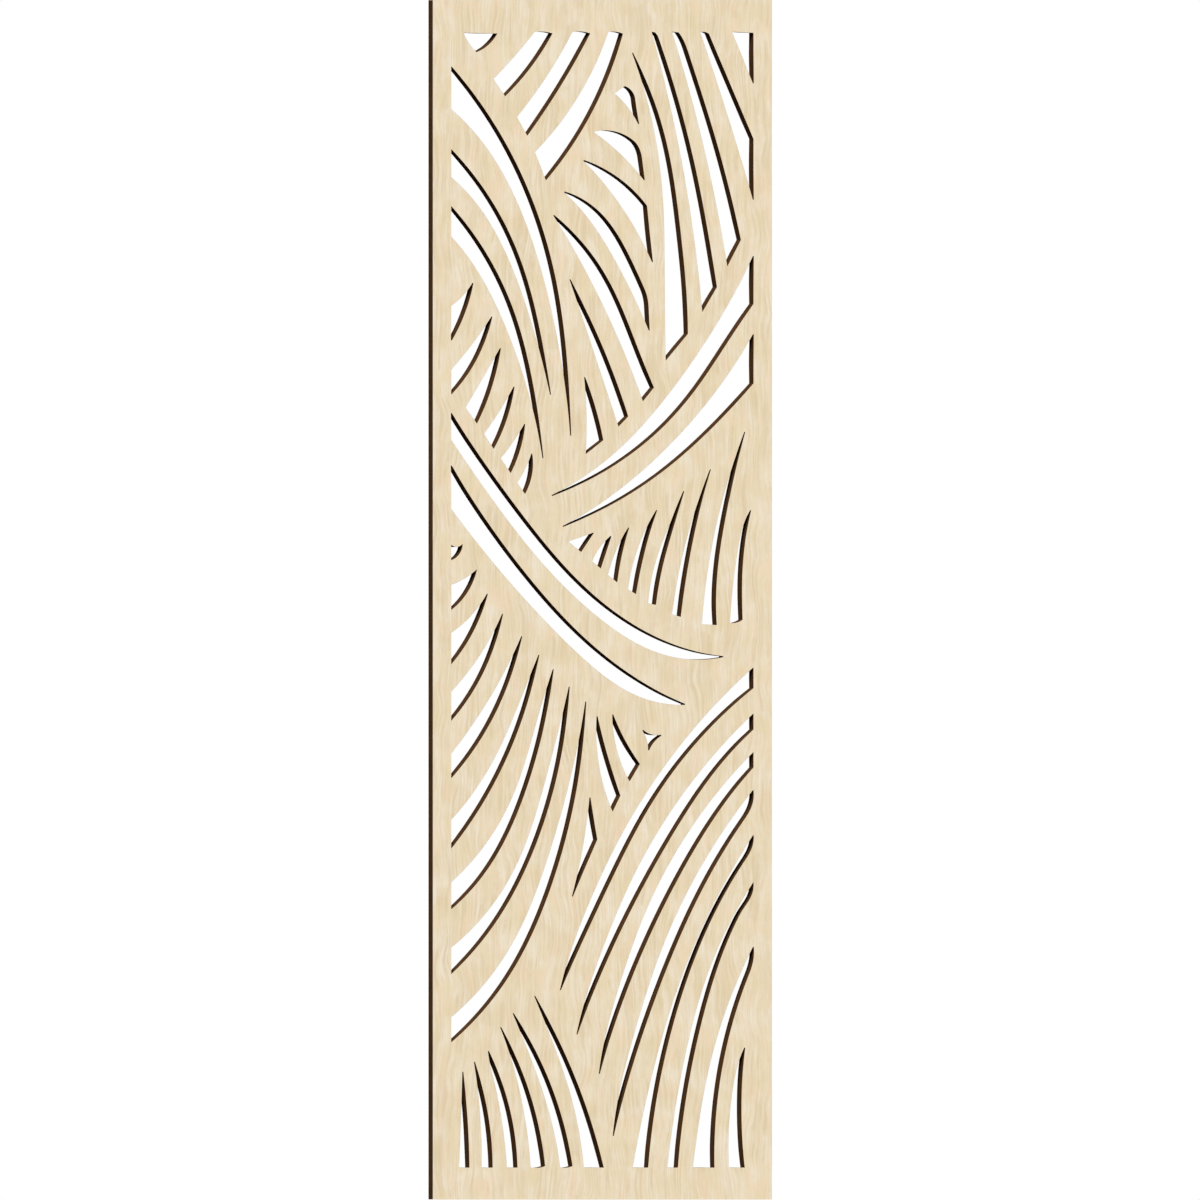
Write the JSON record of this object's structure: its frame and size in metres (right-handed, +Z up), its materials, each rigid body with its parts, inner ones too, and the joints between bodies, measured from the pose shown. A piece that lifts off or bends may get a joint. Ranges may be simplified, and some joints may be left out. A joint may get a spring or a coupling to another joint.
{
  "type": "fretwork panel",
  "caption": "Tall flat veneered panel pierced right through by sheaves of tapered, curved slots inside a plain border, for a screen, partition or wall.",
  "frame": {"origin": "middle of the bottom edge, half way through the thickness", "axes": "+Z up the panel along its grain, +X to the right as seen from the face, +Y from the face to the back"},
  "size_m": [0.364, 0.012, 1.2],
  "materials": {
    "face_veneer": "satin clear lacquer",
    "core_board": "fibreboard, its cut edges burnt dark brown by the cutting",
    "back_veneer": "satin clear lacquer"
  },
  "bodies": {
    "root": {"face_veneer": "face_veneer", "core_board": "core_board", "back_veneer": "back_veneer"}
  },
  "joints": []
}
